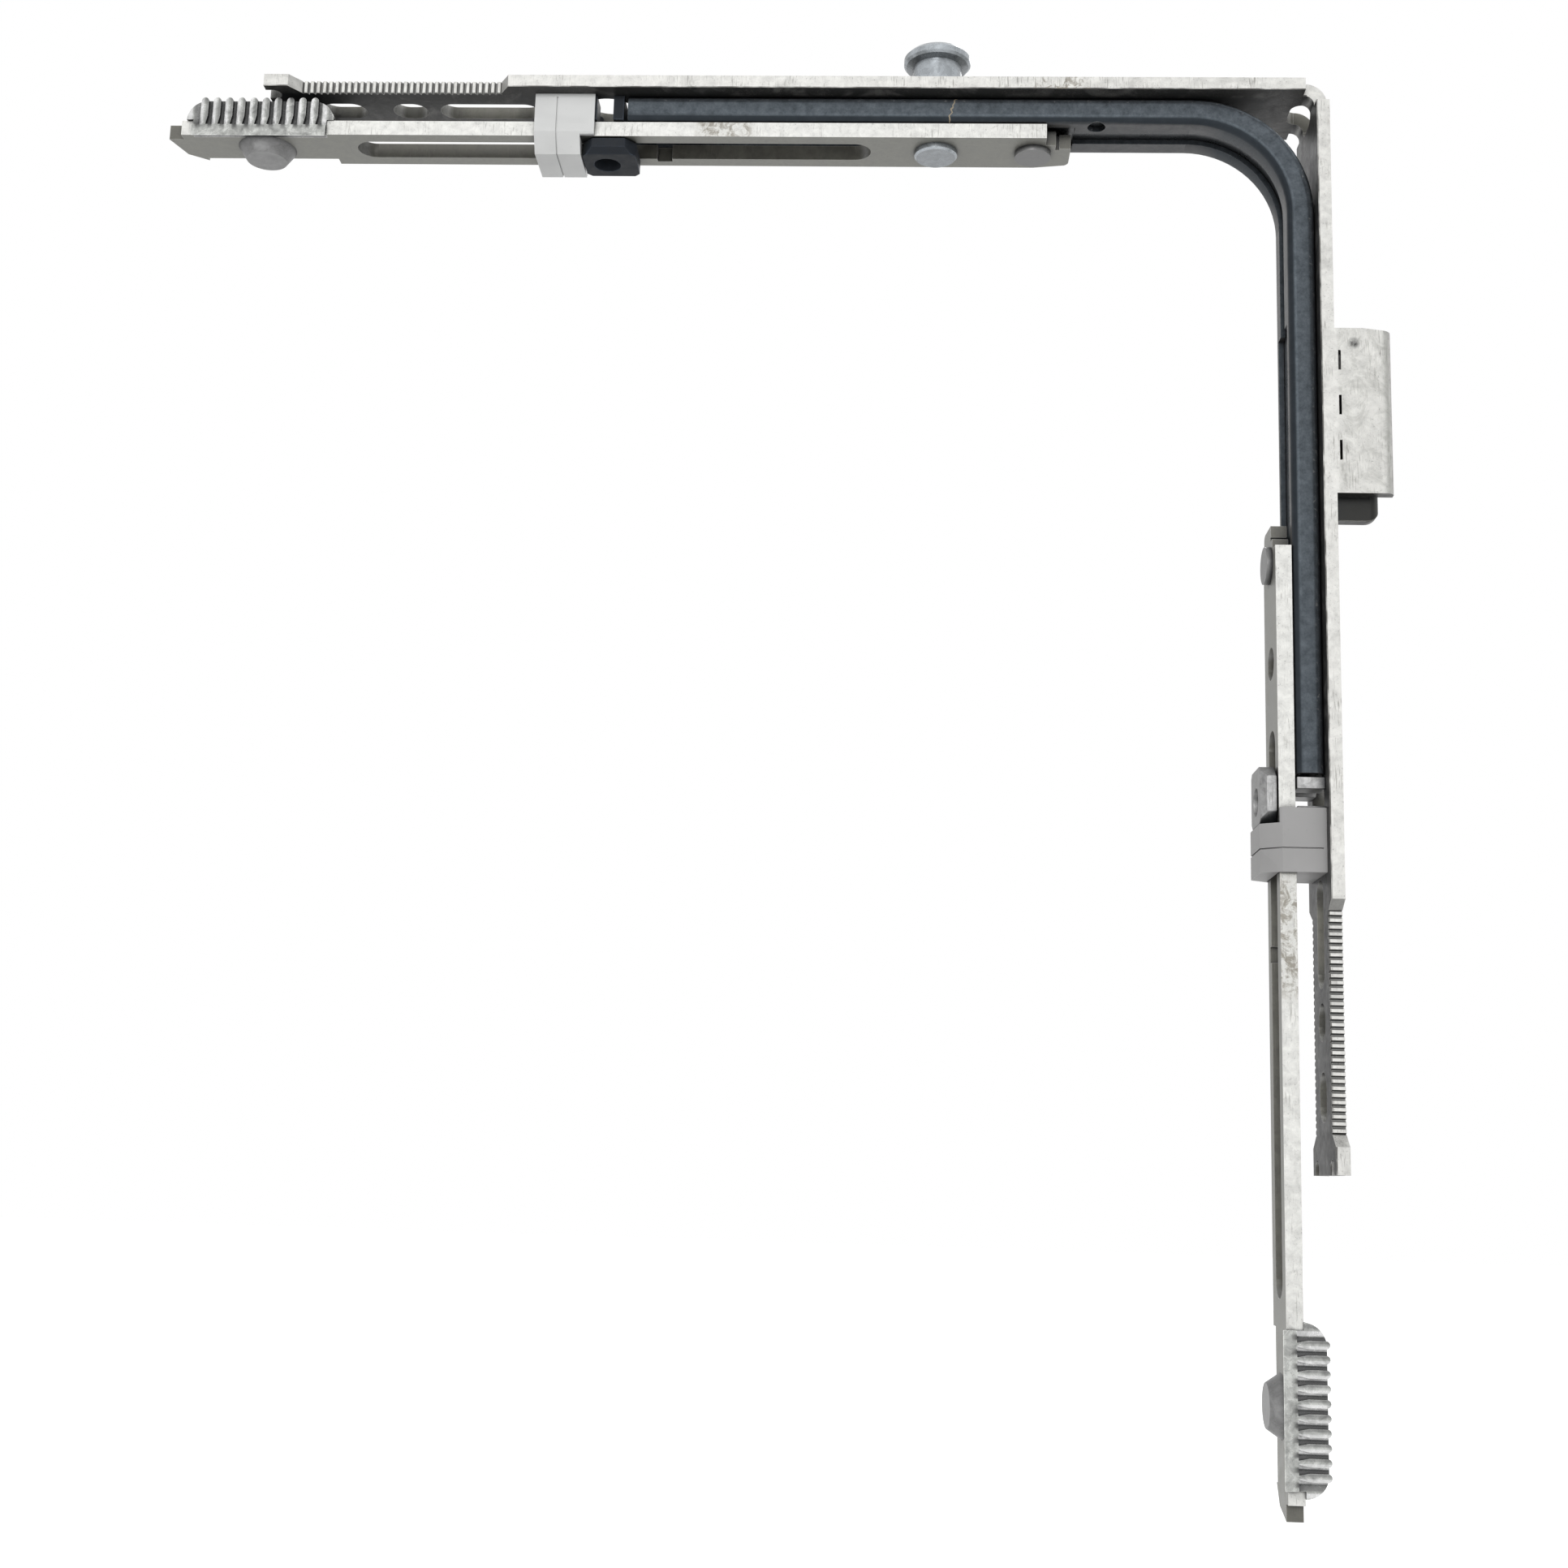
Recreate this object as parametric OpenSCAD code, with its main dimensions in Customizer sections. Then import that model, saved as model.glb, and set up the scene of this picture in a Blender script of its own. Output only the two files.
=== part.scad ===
// Espagnolette corner drive for a tilt-and-turn window sash.
// The faceplate is an L seen from the near side (-Y). Its outer faces look up (+Z) and right (+X).
// The origin is on the axis of the top leg's fixing screw, in the faceplate's outer face.
// Places along a leg are distances from the outer corner, and depths are measured inward
// from the faceplate's outer face.

/* [Faceplate] */
// Width of the faceplate, across the sash groove
plate_w = 16; // [15.5:0.5:18]
// Thickness of the faceplate
plate_t = 2; // [1.8:0.1:2.4]
// Corner to the end of the full-width part of each leg
leg_len = 127.8; // [126:0.5:134]
// Outer radius of the bend at the corner
bend_r = 3.4; // [3:0.1:3.6]
// Corner to the square end of the full-width part beside the bend
bend_gap = 3.6; // [3:0.1:5]
// Setback of the bend's edges from the faceplate's edges
bend_setback = 2; // [1:0.1:3]
// Width of the window through the bend
corner_window_w = 6; // [5:0.1:7.5]
// Corner to the end of the window on each leg
corner_window_reach = 4.8; // [4:0.1:7]
// Radius of the window's corners
corner_window_r = 1.6; // [1:0.1:2.4]

/* [Tongue] */
// Length of the sloping shoulder between the full width and the tongue
shoulder_len = 1.4; // [1:0.1:2.5]
// Setback of the tongue's edges from the faceplate's edges
tongue_setback = 2.2; // [1.5:0.1:3]
// Distance from one serration to the next
serration_pitch = 1; // [0.9:0.05:1.1]
// Number of serrations along each edge of the tongue
serration_count = 32; // [28:1:34]
// Depth of the serrations
serration_depth = 0.5; // [0.3:0.05:0.7]
// Length of the slope from the last serration to the tip
tip_slope = 1.7; // [1.2:0.1:2.5]
// Length of the full-width tip
tip_len = 3.9; // [3.2:0.1:5]
// Width of the notches in the tip's end
tip_notch_w = 2.6; // [2:0.1:3]
// Depth of the notches in the tip's end
tip_notch_deep = 2.2; // [1.5:0.1:2.6]
// Middle of the tongue to the middle of each notch
tip_notch_at = 5.3; // [4.8:0.1:5.8]
// Width of the two slots and the short hole in the tongue
tongue_slot_w = 4.6; // [3.8:0.1:5.2]
// Corner to the start of the long slot
long_slot_from = 124; // [123.6:0.2:126]
// Length of the long slot
long_slot_len = 16; // [13:0.5:16.5]
// Wall between the long slot, the short hole and the outer slot
slot_bridge = 2.1; // [1.6:0.1:2.6]
// Length of the short hole, the middle one of the three
short_hole_len = 5.6; // [5:0.1:6.5]
// Length of the outer slot
outer_slot_len = 7.2; // [6:0.1:8]
// Wall between the short hole and the outer slot
outer_bridge = 4.4; // [3.6:0.1:5]

/* [Side flange] */
// Corner to the upper end of the flange folded up on the side leg
flange_from = 41; // [40:0.5:44]
// Length of the flange along the leg
flange_len = 26; // [24:0.2:27]
// Height of the flange above the faceplate's outer face
flange_h = 8.5; // [7.6:0.1:9]
// Radius of the flange's outer edge on the near side
flange_edge_r = 1.2; // [0.8:0.1:1.6]
// Drop of the flange's upper end towards its outer edge
flange_drop = 0.6; // [0.3:0.1:1]
// Length of each slit pressed in the flange's fold line
slit_len = 3.1; // [2.6:0.1:3.6]
// Distance from one slit to the next
slit_pitch = 7.1; // [6.5:0.1:7.4]
// Height of the slits
slit_w = 0.4; // [0.3:0.05:0.6]
// Height of the slits' lower edge above the faceplate's outer face
slit_rise = 0.5; // [0:0.1:0.8]
// Offset of the row of slits from the flange's middle, towards the corner
slit_shift = 0.8; // [0:0.1:1.2]

/* [Corner guide] */
// Width of the folded guide channel
guide_w = 11; // [10.6:0.1:11.4]
// Depth of the guide channel, from the faceplate to the rods
guide_h = 4.2; // [4.1:0.1:4.6]
// Sheet thickness of the guide channel
guide_t = 0.8; // [0.7:0.05:0.85]
// Radius of the bend at the guide's inner face
guide_r = 14.5; // [13:0.5:16]
// Outer radius of the guide's long folds
guide_fold_r = 1.2; // [1:0.1:1.4]
// Width of the slit between the guide's lips round the bend
guide_slit_w = 3.4; // [3:0.1:4]
// Width of the opening between the lips along the rods
guide_open_w = 7; // [6.9:0.1:7.4]
// Corner to the place where the lips narrow
lips_to = 38.6; // [37.6:0.1:39]
// Corner to the guide's end on each leg
guide_to = 109; // [108:0.2:109]
// Diameter of the round hole in the near lip, on the top leg beside the bend
lip_hole_d = 2.8; // [2.4:0.1:3]
// Corner to the lip hole
lip_hole_at = 35.3; // [34:0.1:36.4]

/* [Spring strips] */
// Thickness of one spring strip
strip_t = 0.6; // [0.5:0.02:0.62]
// Width of the spring strips
strip_w = 8; // [7:0.1:8.6]
// Gap between neighbouring strips
strip_gap = 0.04; // [0.02:0.01:0.06]
// Length of the strips beyond the strip rivets' axes
strip_end = 2.6; // [2.2:0.1:3]
// Clearance of the strip rivets in the strips' holes, across the hole
strip_hole_gap = 0.2; // [0.1:0.05:0.3]

/* [Drive rods] */
// Width of the drive rods
rod_w = 9.8; // [9.4:0.1:10.2]
// Thickness of the drive rods
rod_t = 2.4; // [2.2:0.1:2.6]
// Length of the drive rods, from inner end to outer tip
rod_len = 143.9; // [143:0.1:146]
// Running gap between the guide's lips and the rods
rod_gap = 0.1; // [0.05:0.01:0.2]
// Corner to the top rod's inner end in the pose shown
top_rod_at = 39.1; // [38.7:0.1:39.8]
// Corner to the side rod's inner end in the pose shown
side_rod_at = 70.2; // [69.8:0.1:71]
// Rod's inner end to the start of its long slot
slot_from = 31.5; // [31:0.1:32.5]
// Rod's inner end to the far end of its long slot
slot_to = 114; // [112.5:0.1:114.4]
// Width of the rods' long slot
slot_w = 5.2; // [5:0.1:5.6]
// Rod's inner end to the hole for a cam
cam_hole_at = 21.2; // [20.5:0.1:22.4]
// Rod's inner end to the strip rivet
strip_rivet_at = 5.9; // [5:0.1:6.2]
// Length of the narrowed inner end of the rods
nose_len = 4; // [3.6:0.1:4.3]
// Setback of the narrowed inner end from the near edge
nose_setback = 2.4; // [2:0.1:2.8]
// Further setback of the inner end's last step
nose_step = 1.1; // [0.7:0.1:1.3]
// Length of the tapered outer tip
tip_taper_len = 5.7; // [5:0.1:6.2]
// Length of the blunt part at the end of that taper
tip_blunt_len = 1.5; // [1:0.1:2]
// Setback of the taper's end from the far edge
tip_blunt_drop = 3; // [2.4:0.1:3.6]
// Rod's inner end to the assembly notch in the slot's far wall
rod_notch_at = 63.5; // [60:0.5:67]
// Length of the assembly notch
rod_notch_len = 2.4; // [2:0.1:3]
// Depth of the assembly notch
rod_notch_deep = 0.9; // [0.6:0.1:1.1]
// Length of the taper on the far side of the rod's inner end
nose_taper_len = 5.5; // [4:0.1:7]
// Setback of that taper at the rod's inner end
nose_drop = 0.9; // [0.6:0.1:1.2]
// Radius of the rounded corner on the far side of the inner end
nose_r = 1.2; // [0.8:0.1:1.6]
// Travel of the rods outward from the pose shown, on the top leg
travel_out = 33.7; // [30:0.1:34]
// Travel of the rods inward from the pose shown, on the top leg
travel_in = 2.3; // [1:0.1:2.3]

/* [Coupling blocks] */
// Rod's inner end to the near end of the coupling block
block_from = 116.9; // [116.5:0.1:117.4]
// Length of the coupling block
block_len = 23.7; // [23.2:0.1:24]
// Radius of the coupling block's rounded ends
block_end_r = 3.3; // [2.6:0.1:3.4]
// Distance from one rib of the coupling block to the next
rib_pitch = 1.97; // [1.9:0.01:2.04]
// Number of ribs on a coupling block
rib_count = 10; // [8:1:11]
// Thickness of one rib
rib_t = 1.15; // [1:0.05:1.3]
// Width of the ribs
block_w = 11.4; // [11:0.1:11.6]
// Height of the ribs above the core on the block's two sides
rib_side_h = 0.6; // [0.4:0.05:0.8]
// Height of the ribs above the core at the crest
rib_crest_h = 0.35; // [0.25:0.05:0.5]
// Depth from the faceplate's outer face to the rib crests
block_crest = 2.8; // [2.5:0.1:3.2]
// Length of the block's base rails
rail_len = 21.5; // [20:0.1:21.8]
// Depth of the near rail's lip from the rod's outer face to its lower edge
rail_h = 3; // [2.7:0.1:3.2]
// Height of the near rail's lip
rail_lip_h = 1.9; // [1.6:0.1:2.1]
// Depth of the far rail from the rod's outer face to its lower edge
far_rail_h = 1; // [0.8:0.1:1.4]
// Setback of the rod's near edge where the near rail grips it
rod_waist = 1; // [0.6:0.1:1.2]
// Setback of the rod's far edge where the far rail grips it
far_waist = 1.7; // [1.3:0.1:1.9]
// Height of the ribs' pointed feet above the near rail's lip
rib_foot_h = 1.5; // [1.1:0.1:1.8]
// Width of the ribs' feet where they meet the lip
rib_foot_t = 0.3; // [0.2:0.05:0.5]
// Diameter of the block's rivet shank
block_shank_d = 4; // [3.6:0.1:4.4]
// Diameter of the block's rivet head where it meets the rod
block_head_d = 9.2; // [8.4:0.1:9.6]
// Diameter of the block's rivet head at its crown
block_crown_d = 6.4; // [5.6:0.1:7]
// Height of the block's rivet head
block_head_h = 2.1; // [1.8:0.1:2.6]

/* [Mushroom cam] */
// Diameter of the cam's head
cam_head_d = 10.6; // [10:0.1:11.2]
// Thickness of the cam's head
cam_head_t = 1.9; // [1.6:0.1:2.4]
// Height of the cam above the faceplate's outer face
cam_h = 7.8; // [7.2:0.1:8.6]
// Diameter of the cam's neck
cam_neck_d = 7.8; // [7.2:0.1:8.4]
// Gap between the cam's neck and the faceplate's outer face
cam_gap = 0.2; // [0.1:0.05:0.3]
// Diameter of the cam's shank
cam_shank_d = 6; // [5.6:0.1:6.2]
// Clearance on each side of the shank in its slots
shank_gap = 0.3; // [0.2:0.05:0.35]
// Diameter of the cam's riveted end
cam_rivet_d = 6.8; // [6.4:0.1:7.4]
// Height of the cam's riveted end
cam_rivet_h = 1; // [0.7:0.1:1.2]
// Diameter of the cam's stub in the rod
cam_stub_d = 5; // [4.6:0.1:5.2]

/* [Screw bosses] */
// Corner to the fixing screw's axis on each leg
screw_at = 112.6; // [112.4:0.1:113]
// Diameter of the screw bore in the boss
screw_d = 4.2; // [3.9:0.1:4.4]
// Diameter of the screw-head hole in the faceplate
screw_head_d = 8.6; // [8:0.1:9]
// Length of the boss head along the leg
boss_len = 8.5; // [8:0.1:8.8]
// Offset of the boss head from the screw's axis, towards the corner
boss_shift = 0.6; // [0.2:0.1:0.8]
// Width of the boss head
boss_w = 9.2; // [8.6:0.1:9.6]
// Height of the boss head
boss_h = 2.3; // [1.9:0.1:2.5]
// Cut of the boss head's corners
boss_corner = 1.6; // [1.2:0.1:2]
// Chamfer along the sides of the boss head
boss_chamfer = 0.9; // [0.5:0.1:1.2]
// Length of the pair of feet along the leg, outside to outside
feet_len = 6; // [5.6:0.1:6.2]
// Gap between the two feet
feet_gap = 2.6; // [2.2:0.1:2.8]
// Width of the feet under the faceplate
feet_w = 10.8; // [10:0.1:11]
// Clearance between the boss and the sliding rod
boss_gap = 0.2; // [0.12:0.02:0.24]

/* [Clips] */
// Corner to the clip's near wall
clip_from = 114.2; // [113.6:0.1:114.6]
// Corner to the clip's far end
clip_to = 123.7; // [123:0.1:123.9]
// Gap between the boss head and the clip
clip_boss_gap = 0.2; // [0.1:0.05:0.3]
// Width of the clips
clip_w = 11.6; // [11.4:0.1:12]
// Thickness of the clip under the rod
clip_floor = 2.5; // [2.2:0.1:2.8]
// Clearance between the clip and the sliding rod
clip_gap = 0.15; // [0.1:0.01:0.2]
// Width of the slopes along the clip's inner face
clip_slope_w = 1.9; // [1.4:0.1:2.4]
// Start of those slopes, above the rod's inner face
clip_slope_rise = 0.3; // [0:0.1:0.6]
// Gap between the clip and the boss's feet
clip_feet_gap = 0.1; // [0.05:0.05:0.2]
// Diameter of the clip's peg in the faceplate
clip_peg_d = 3; // [2.6:0.1:3.2]
// Width of the parting groove round the clip
parting_w = 0.22; // [0.15:0.01:0.3]

/* [Flange catch] */
// Corner to the catch's upper end
catch_from = 47; // [45:0.5:49]
// Length of the catch
catch_len = 23.6; // [23:0.2:25]
// Height of the catch above the faceplate
catch_h = 6.7; // [6.2:0.1:7]
// Thickness of the catch
catch_t = 2; // [1.6:0.1:2.2]
// Gap between the catch and the flange
catch_gap = 0.3; // [0.2:0.05:0.5]
// Radius of the catch's outer edge on the near side
catch_edge_r = 1.4; // [1:0.1:1.5]
// Radius of the catch's outer lower corner
catch_corner_r = 2; // [1.4:0.1:2.4]
// Length of the catch's foot along the leg
catch_foot_len = 14; // [12:0.5:16]
// Reach of the catch's foot across the faceplate
catch_foot_reach = 9; // [8.4:0.1:10]

/* [Rivets] */
// Diameter of the strip rivet's shank
strip_shank_d = 3; // [2.8:0.1:3.2]
// Diameter of the strip rivet's head on the rod
strip_head_d = 5.7; // [5.2:0.1:6]
// Height of the strip rivet's head on the rod
strip_head_h = 0.9; // [0.6:0.1:1.1]
// Diameter of the strip rivet's flat head inside the guide
strip_foot_d = 5; // [4.4:0.1:5.4]
// Thickness of the strip rivet's flat head inside the guide
strip_foot_t = 0.4; // [0.3:0.05:0.45]
// Diameter of the guide rivets' shank
guide_rivet_d = 3; // [2.6:0.1:3.2]
// Diameter of the guide rivets' countersunk head
guide_rivet_head_d = 5; // [4.6:0.1:5.4]
// Corner to the guide rivet near the bend, on each leg
guide_rivet_in = 27; // [25:0.5:30]
// Corner to the guide rivet near the guide's end, on each leg
guide_rivet_out = 104; // [103:0.2:105]
// Diameter of the catch rivet's shank
catch_rivet_d = 3; // [2.6:0.1:3.4]
// Diameter of the catch rivet's head on the foot
catch_rivet_head_d = 5; // [4.6:0.1:5.4]
// Height of the catch rivet's head
catch_rivet_head_h = 1; // [0.8:0.1:1.4]

/* [Hidden] */
$fn = 64;

// A cut reaches this far past the face that it opens
past = 0.5;
// Two joined lumps of one piece share this much
weld = 0.01;

// Faceplate
tongue_from = leg_len + shoulder_len;
serrations_to = tongue_from + serration_pitch * serration_count;
tip_from = serrations_to + tip_slope;
tongue_to = tip_from + tip_len;
tongue_half = plate_w / 2 - tongue_setback;
short_hole_from = long_slot_from + long_slot_len + slot_bridge;
outer_slot_from = short_hole_from + short_hole_len + outer_bridge;

// Depths below the faceplate's outer face
guide_base = plate_t;
guide_inner = plate_t + guide_h;
rod_outer = guide_inner + rod_gap;
rod_inner = rod_outer + rod_t;
guide_centre = guide_inner + guide_r;
strip_play = 0.05;
strip_floor = guide_inner - guide_t - strip_play;
strip_foot_top = strip_floor - 3 * strip_t - 2 * strip_gap - strip_play;

// Travel of what rides on the top rod
cam_at = top_rod_at + cam_hole_at;
cam_slot_from = cam_at - travel_in - cam_shank_d / 2 - shank_gap;
cam_slot_to = cam_at + travel_out + cam_shank_d / 2 + shank_gap;

// Coupling block, measured from the rod's inner end
block_mid = block_from + block_len / 2;
rail_bottom = rod_outer + rail_h;
rail_lip_top = rail_bottom - rail_lip_h;
far_rail_bottom = rod_outer + far_rail_h;
core_w = block_w - 2 * rib_side_h;
core_crest = block_crest + rib_crest_h;
// The rails reach this far up the core's sides
rail_lap = 1;

// Clip
clip_inner_from = screw_at - boss_shift + boss_len / 2 + clip_boss_gap;
clip_bottom = rod_inner + clip_gap + clip_floor;
clip_peg_at = (clip_inner_from + clip_to) / 2;

// Places a part drawn along +X, outward side up, on the top leg
module on_top_leg() {
    translate([screw_at, 0, 0]) mirror([1, 0, 0]) children();
}

// Places a part drawn along +X, outward side up, on the side leg
module on_side_leg() {
    translate([screw_at, 0, 0]) rotate([0, 90, 0]) children();
}

// A slot with round ends, along X from one end to the other
module slot_2d(from, to, w) {
    translate([from + w / 2, -w / 2]) square([to - from - w, w]);
    translate([from + w / 2, 0]) circle(d = w);
    translate([to - w / 2, 0]) circle(d = w);
}

// A block given by its lowest and highest corners
module block(low, high) {
    translate(low) cube(high - low);
}

// Edge of the tongue from the shoulder to the tip, on the near side
function serrated_edge() = [
    for (i = [0 : serration_count - 1])
        let (x = tongue_from + i * serration_pitch)
        each [
            [x, -tongue_half + serration_depth],
            [x + 0.2 * serration_pitch, -tongue_half],
            [x + 0.65 * serration_pitch, -tongue_half],
            [x + 0.85 * serration_pitch, -tongue_half + serration_depth]
        ]
];

// Near half of the strip's outline, beyond the bend
function near_outline() = concat(
    [[bend_gap, 0], [bend_gap, -plate_w / 2], [leg_len, -plate_w / 2],
     [tongue_from, -tongue_half]],
    serrated_edge(),
    [[serrations_to, -tongue_half], [tip_from, -plate_w / 2],
     [tongue_to, -plate_w / 2], [tongue_to, 0]]
);

module strip_2d() {
    difference() {
        union() {
            polygon(near_outline());
            mirror([0, 1]) polygon(near_outline());
        }
        slot_2d(long_slot_from, long_slot_from + long_slot_len, tongue_slot_w);
        slot_2d(short_hole_from, short_hole_from + short_hole_len, tongue_slot_w);
        slot_2d(outer_slot_from, outer_slot_from + outer_slot_len, tongue_slot_w);
        for (side = [-1, 1]) tip_notch_2d(side * tip_notch_at);
        translate([screw_at, 0]) circle(d = screw_head_d);
        translate([clip_peg_at, 0]) circle(d = clip_peg_d);
    }
}

module tip_notch_2d(y) {
    translate([tongue_to - tip_notch_deep + tip_notch_w / 2, y]) circle(d = tip_notch_w);
    translate([tongue_to - tip_notch_deep + tip_notch_w / 2, y - tip_notch_w / 2])
        square([tip_notch_deep, tip_notch_w]);
}

module plate_leg() {
    translate([0, 0, -plate_t]) linear_extrude(plate_t) strip_2d();
    // The setback part beside the bend
    block([bend_r, -plate_w / 2 + bend_setback, -plate_t],
          [bend_r + plate_t, plate_w / 2 - bend_setback, 0]);
}

module plate_bend() {
    translate([screw_at - bend_r, 0, -bend_r]) rotate([90, 0, 0])
        rotate_extrude_arc(bend_r - plate_t, bend_r, plate_w - 2 * bend_setback);
}

// A quarter ring in the XY plane's first quadrant, as thick along Z as height says
module rotate_extrude_arc(r_in, r_out, height) {
    intersection() {
        difference() {
            cylinder(r = r_out, h = height, center = true);
            cylinder(r = r_in, h = height + past, center = true);
        }
        translate([0, 0, -height / 2]) cube([r_out, r_out, height]);
    }
}

// The flange's section, drawn from the near edge: X across the faceplate, Y outward
module flange_section() {
    difference() {
        translate([0, -plate_t]) square([plate_t, flange_h + plate_t]);
        edge_cut_2d(flange_h, flange_edge_r);
    }
}

// What is cut away to round the near outer edge of an upright plate of height h
module edge_cut_2d(h, r) {
    difference() {
        translate([-past, h - r]) square([r + past, r + past]);
        translate([r, h - r]) circle(r = r);
    }
}

module side_flange() {
    on_side_leg() difference() {
        translate([flange_from, -plate_w / 2, 0]) rotate([90, 0, 90])
            linear_extrude(flange_len) flange_section();
        flange_slits();
        flange_end_cut();
    }
}

module flange_slits() {
    slits_from = flange_from - slit_shift + (flange_len - 2 * slit_pitch - slit_len) / 2;
    for (i = [0 : 2])
        block([slits_from + i * slit_pitch, -plate_w / 2 - past, slit_rise],
              [slits_from + i * slit_pitch + slit_len, -plate_w / 2 + plate_t + past,
               slit_rise + slit_w]);
}

// What is cut away for the slope of the flange's upper end
module flange_end_cut() {
    translate([0, -plate_w / 2 + plate_t + past, 0]) rotate([90, 0, 0])
        linear_extrude(plate_t + 2 * past) polygon([
            [flange_from - past, flange_h / 2], [flange_from, flange_h / 2],
            [flange_from + flange_drop, flange_h + past], [flange_from - past, flange_h + past]
        ]);
}

module corner_window() {
    for (side = [0, 1]) {
        if (side == 0) on_top_leg() window_leg();
        else on_side_leg() window_leg();
    }
}

module window_leg() {
    translate([0, 0, -bend_r]) linear_extrude(bend_r + past)
        slot_end_2d(corner_window_reach, corner_window_w, corner_window_r);
}

// A tongue-shaped outline from X = -past to its rounded end
module slot_end_2d(to, w, r) {
    translate([-past, -w / 2]) square([to + past - r, w]);
    translate([-past, -w / 2 + r]) square([to + past, w - 2 * r]);
    for (side = [-1, 1]) translate([to - r, side * (w / 2 - r)]) circle(r = r);
}

module guide_rivet_holes() {
    on_top_leg() guide_rivet_leg(guide_rivet_in);
    on_top_leg() guide_rivet_leg(guide_rivet_out);
    on_side_leg() guide_rivet_leg(guide_rivet_in);
    on_side_leg() guide_rivet_leg(guide_rivet_out);
}

module guide_rivet_leg(at) {
    translate([at, 0, -plate_t]) cylinder(d = guide_rivet_d, h = plate_t);
    translate([at, 0, -plate_t / 2])
        cylinder(d1 = guide_rivet_d, d2 = guide_rivet_head_d, h = plate_t / 2);
}

module faceplate() {
    color("gainsboro") difference() {
        union() {
            on_top_leg() plate_leg();
            on_side_leg() plate_leg();
            plate_bend();
            side_flange();
        }
        corner_window();
        on_top_leg() translate([0, 0, -plate_t - past]) linear_extrude(plate_t + 2 * past)
            slot_2d(cam_slot_from, cam_slot_to, cam_shank_d + 2 * shank_gap);
        guide_rivet_holes();
        on_side_leg() catch_rivet_solid();
    }
}

// The guide's section: X across the guide, Y outward, with the given opening between the lips
module guide_section(opening) {
    half = guide_w / 2;
    difference() {
        rounded_rect(guide_w, guide_h, guide_fold_r);
        translate([0, guide_t])
            rounded_rect(guide_w - 2 * guide_t, guide_h - 2 * guide_t, guide_fold_r - guide_t);
        translate([-opening / 2, -past]) square([opening, guide_t + 2 * past]);
    }
}

// A rectangle with rounded corners, standing on X and centred across it
module rounded_rect(w, h, r) {
    translate([-w / 2 + r, 0]) square([w - 2 * r, h]);
    translate([-w / 2, r]) square([w, h - 2 * r]);
    for (x = [-w / 2 + r, w / 2 - r])
        for (y = [r, h - r])
            translate([x, y]) circle(r = r, $fn = 32);
}

module guide_run(from, to, opening) {
    translate([from, 0, -guide_inner]) rotate([90, 0, 90])
        linear_extrude(to - from) guide_section(opening);
}

module guide_bend() {
    translate([screw_at - guide_centre, 0, -guide_centre]) rotate([90, 0, 0]) rotate_extrude(angle = 90)
        translate([guide_r, 0]) rotate(-90) guide_section(guide_slit_w);
}

module guide_leg() {
    guide_run(guide_centre, lips_to, guide_slit_w);
    guide_run(lips_to, guide_to, guide_open_w);
}

module guide_rivet_clear(at) {
    translate([at, 0, -guide_inner]) cylinder(d = guide_rivet_d, h = guide_h + past);
}

module corner_guide() {
    color("darkslategray") difference() {
        union() {
            on_top_leg() guide_leg();
            on_side_leg() guide_leg();
            guide_bend();
        }
        on_top_leg() translate([0, 0, -guide_base - guide_t - past])
            linear_extrude(guide_t + 2 * past)
                slot_2d(cam_slot_from, cam_slot_to, cam_shank_d + 2 * shank_gap);
        on_top_leg() translate([lip_hole_at, -(guide_slit_w + guide_w) / 4, -guide_inner - past])
            cylinder(d = lip_hole_d, h = guide_t + 2 * past);
        on_top_leg() guide_rivet_clear(guide_rivet_in);
        on_top_leg() guide_rivet_clear(guide_rivet_out);
        on_side_leg() guide_rivet_clear(guide_rivet_in);
        on_side_leg() guide_rivet_clear(guide_rivet_out);
    }
}

// One guide rivet: countersunk in the faceplate, with a flat head inside the guide
module guide_rivet(at) {
    guide_rivet_leg(at);
    translate([at, 0, -guide_base - guide_t]) cylinder(d = guide_rivet_d, h = guide_t + weld);
    translate([at, 0, -guide_base - guide_t - strip_foot_t])
        cylinder(d = guide_rivet_head_d, h = strip_foot_t);
}

module guide_rivets() {
    color("silver") {
        on_top_leg() guide_rivet(guide_rivet_in);
        on_top_leg() guide_rivet(guide_rivet_out);
        on_side_leg() guide_rivet(guide_rivet_in);
        on_side_leg() guide_rivet(guide_rivet_out);
    }
}

// One spring strip, at the depth of its inner face, joining the two strip rivets
module spring_strip(depth) {
    top_to = top_rod_at + strip_rivet_at + strip_end;
    side_to = side_rod_at + strip_rivet_at + strip_end;
    r_in = guide_centre - depth;
    difference() {
        union() {
            on_top_leg() strip_run(top_to, depth);
            on_side_leg() strip_run(side_to, depth);
            translate([screw_at - guide_centre, 0, -guide_centre]) rotate([90, 0, 0])
                rotate_extrude_arc(r_in, r_in + strip_t, strip_w);
        }
        on_top_leg() strip_hole(top_rod_at);
        on_side_leg() strip_hole(side_rod_at);
    }
}

module strip_run(to, depth) {
    block([guide_centre, -strip_w / 2, -depth], [to, strip_w / 2, -depth + strip_t]);
}

module strip_hole(rod_at) {
    translate([rod_at + strip_rivet_at, 0, -guide_inner])
        cylinder(d = strip_shank_d + strip_hole_gap, h = guide_h);
}

module inner_spring_strip() {
    color("slategray") spring_strip(strip_floor);
}

module middle_spring_strip() {
    color("lightslategray") spring_strip(strip_floor - strip_t - strip_gap);
}

module outer_spring_strip() {
    color("slategray") spring_strip(strip_floor - 2 * (strip_t + strip_gap));
}

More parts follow.
